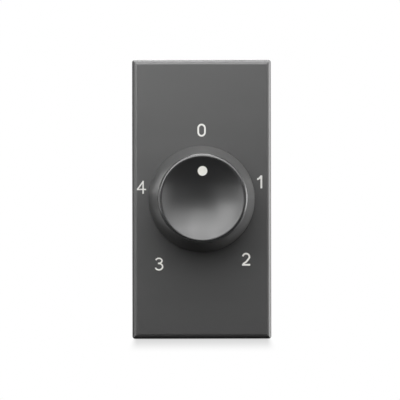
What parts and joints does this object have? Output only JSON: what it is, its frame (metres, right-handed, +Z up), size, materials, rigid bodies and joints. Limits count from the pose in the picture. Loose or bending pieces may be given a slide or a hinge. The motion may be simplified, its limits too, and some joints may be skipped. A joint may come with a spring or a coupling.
{
  "type": "fan speed control switch",
  "caption": "One module rotary fan speed control: a dished knob on a dark front cover, with a wall housing, rotary switch, capacitors and screw terminals.",
  "frame": {"origin": "on the knob's axis, in the plane where the flange's rear face seats on its support frame", "axes": "+X right as seen from the front, +Y back into the wall, +Z up; the front faces -Y"},
  "size_m": [0.0224, 0.0439, 0.045],
  "materials": {
    "graphite_shell": "fine satin, graphite",
    "white_inlay": "smooth off-white",
    "black_housing": "moulded black, fine texture",
    "terminal_grey": "moulded grey",
    "spring_steel": "bright spring steel",
    "turned_steel": "turned",
    "plated_brass": "nickel-plated",
    "plated_steel": "zinc-plated",
    "switch_moulding": "moulded thermoset",
    "rotor_moulding": "natural acetal",
    "contact_brass": "stamped",
    "board_laminate": "phenolic paper laminate",
    "capacitor_case": "moulded box case",
    "resistor_coat": "lacquer coat"
  },
  "bodies": {
    "casing": {"front_cover": "graphite_shell", "housing": "black_housing", "rear_cover": "black_housing", "switch_plate": "plated_brass", "lock_washer": "plated_steel", "bush_nut": "plated_steel", "switch_body": "switch_moulding", "detent_spring": "spring_steel", "contact_common": "contact_brass", "contact_1": "contact_brass", "contact_2": "contact_brass", "contact_3": "contact_brass", "contact_4": "contact_brass", "circuit_board": "board_laminate", "board_screws": "plated_steel", "capacitor_large": "capacitor_case", "capacitor_small": "capacitor_case", "bleed_resistor_upper": "resistor_coat", "bleed_resistor_lower": "resistor_coat", "surge_resistor": "resistor_coat", "terminal_block": "terminal_grey", "line_terminal_bar": "contact_brass", "load_terminal_bar": "contact_brass"},
    "knob_group": {"knob": "graphite_shell", "pointer_dot": "white_inlay", "knob_grip_spring": "spring_steel", "shaft": "turned_steel", "retaining_clip": "spring_steel", "rotor": "rotor_moulding", "wiper": "contact_brass"},
    "line_screw": {"line_terminal_screw": "plated_steel"},
    "load_screw": {"load_terminal_screw": "plated_steel"},
    "line_cage": {"line_terminal_cage": "plated_steel"},
    "load_cage": {"load_terminal_cage": "plated_steel"}
  },
  "joints": [
    {"name": "knob_turn", "type": "hinge", "parent": "casing", "child": "knob_group", "pos_m": [0, 0, 0], "axis": [0, 1, 0], "range_deg": [0, 288], "deforming": ["detent_spring"]},
    {"name": "line_screw_turn", "type": "hinge", "parent": "casing", "child": "line_screw", "pos_m": [-0.005, 0.0222, -0.0136], "axis": [0, -1, 0], "range_deg": [0, 2160]},
    {"name": "load_screw_turn", "type": "hinge", "parent": "casing", "child": "load_screw", "pos_m": [0.005, 0.0222, -0.0136], "axis": [0, -1, 0], "range_deg": [0, 2160]},
    {"name": "line_cage_lift", "type": "slide", "parent": "casing", "child": "line_cage", "axis": [0, 1, 0], "range_m": [0, 0.0036]},
    {"name": "load_cage_lift", "type": "slide", "parent": "casing", "child": "load_cage", "axis": [0, 1, 0], "range_m": [0, 0.0036]}
  ],
  "couplings": [
    {"joint": "line_screw_turn", "follows": "line_cage_lift", "rad_per_m": 10472},
    {"joint": "load_screw_turn", "follows": "load_cage_lift", "rad_per_m": 10472}
  ]
}
